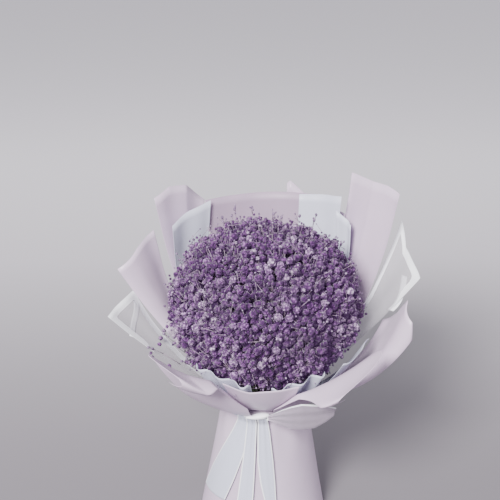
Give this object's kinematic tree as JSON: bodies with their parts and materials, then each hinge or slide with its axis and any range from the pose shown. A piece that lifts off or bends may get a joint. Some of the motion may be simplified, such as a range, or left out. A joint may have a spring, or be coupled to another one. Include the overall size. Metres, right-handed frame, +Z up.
{
  "type": "wrapped gypsophila bouquet",
  "caption": "Hand-tied bouquet of dyed purple gypsophila in lavender wrapping paper, tied with an organza ribbon and standing on its flared paper sleeve.",
  "frame": {"origin": "middle of the bouquet's standing face, where the middle stem's cut end meets the surface", "axes": "+Z runs up the bouquet's axis from the standing face; -Y is the front, where the ribbon's knot is; +X is the viewer's right"},
  "size_m": [0.3707, 0.2865, 0.4235],
  "materials": {
    "dyed_flowers": "matte",
    "tie_string": "matte",
    "liner_paper": "matte",
    "lavender_paper": "matte",
    "bordered_film": "matte",
    "organza_ribbon": "satin"
  },
  "bodies": {
    "root": {"spray_middle": "dyed_flowers", "spray_inner_1": "dyed_flowers", "spray_inner_2": "dyed_flowers", "spray_inner_3": "dyed_flowers", "spray_inner_4": "dyed_flowers", "spray_inner_5": "dyed_flowers", "spray_inner_6": "dyed_flowers", "spray_outer_1": "dyed_flowers", "spray_outer_2": "dyed_flowers", "spray_outer_3": "dyed_flowers", "spray_outer_4": "dyed_flowers", "spray_outer_5": "dyed_flowers", "spray_outer_6": "dyed_flowers", "spray_outer_7": "dyed_flowers", "spray_outer_8": "dyed_flowers", "spray_outer_9": "dyed_flowers", "spray_outer_10": "dyed_flowers", "spray_outer_11": "dyed_flowers", "spray_outer_12": "dyed_flowers", "binding_tie": "tie_string", "liner_upper_left": "liner_paper", "liner_upper_right": "liner_paper", "liner_right": "liner_paper", "liner_lower_right": "liner_paper", "liner_front_right": "liner_paper", "liner_front_left": "liner_paper", "paper_back": "lavender_paper", "paper_back_outer": "lavender_paper", "paper_upper_left": "lavender_paper", "paper_upper_right": "lavender_paper", "paper_left": "lavender_paper", "paper_right": "lavender_paper", "paper_front_left": "lavender_paper", "paper_front_right": "lavender_paper", "paper_front": "lavender_paper", "paper_sleeve": "lavender_paper", "wing_left": "bordered_film", "wing_right": "bordered_film", "ribbon_band": "organza_ribbon", "ribbon_knot": "organza_ribbon", "ribbon_loop": "organza_ribbon", "ribbon_tail_left": "organza_ribbon", "ribbon_tail_middle": "organza_ribbon", "ribbon_tail_right": "organza_ribbon"}
  },
  "joints": []
}
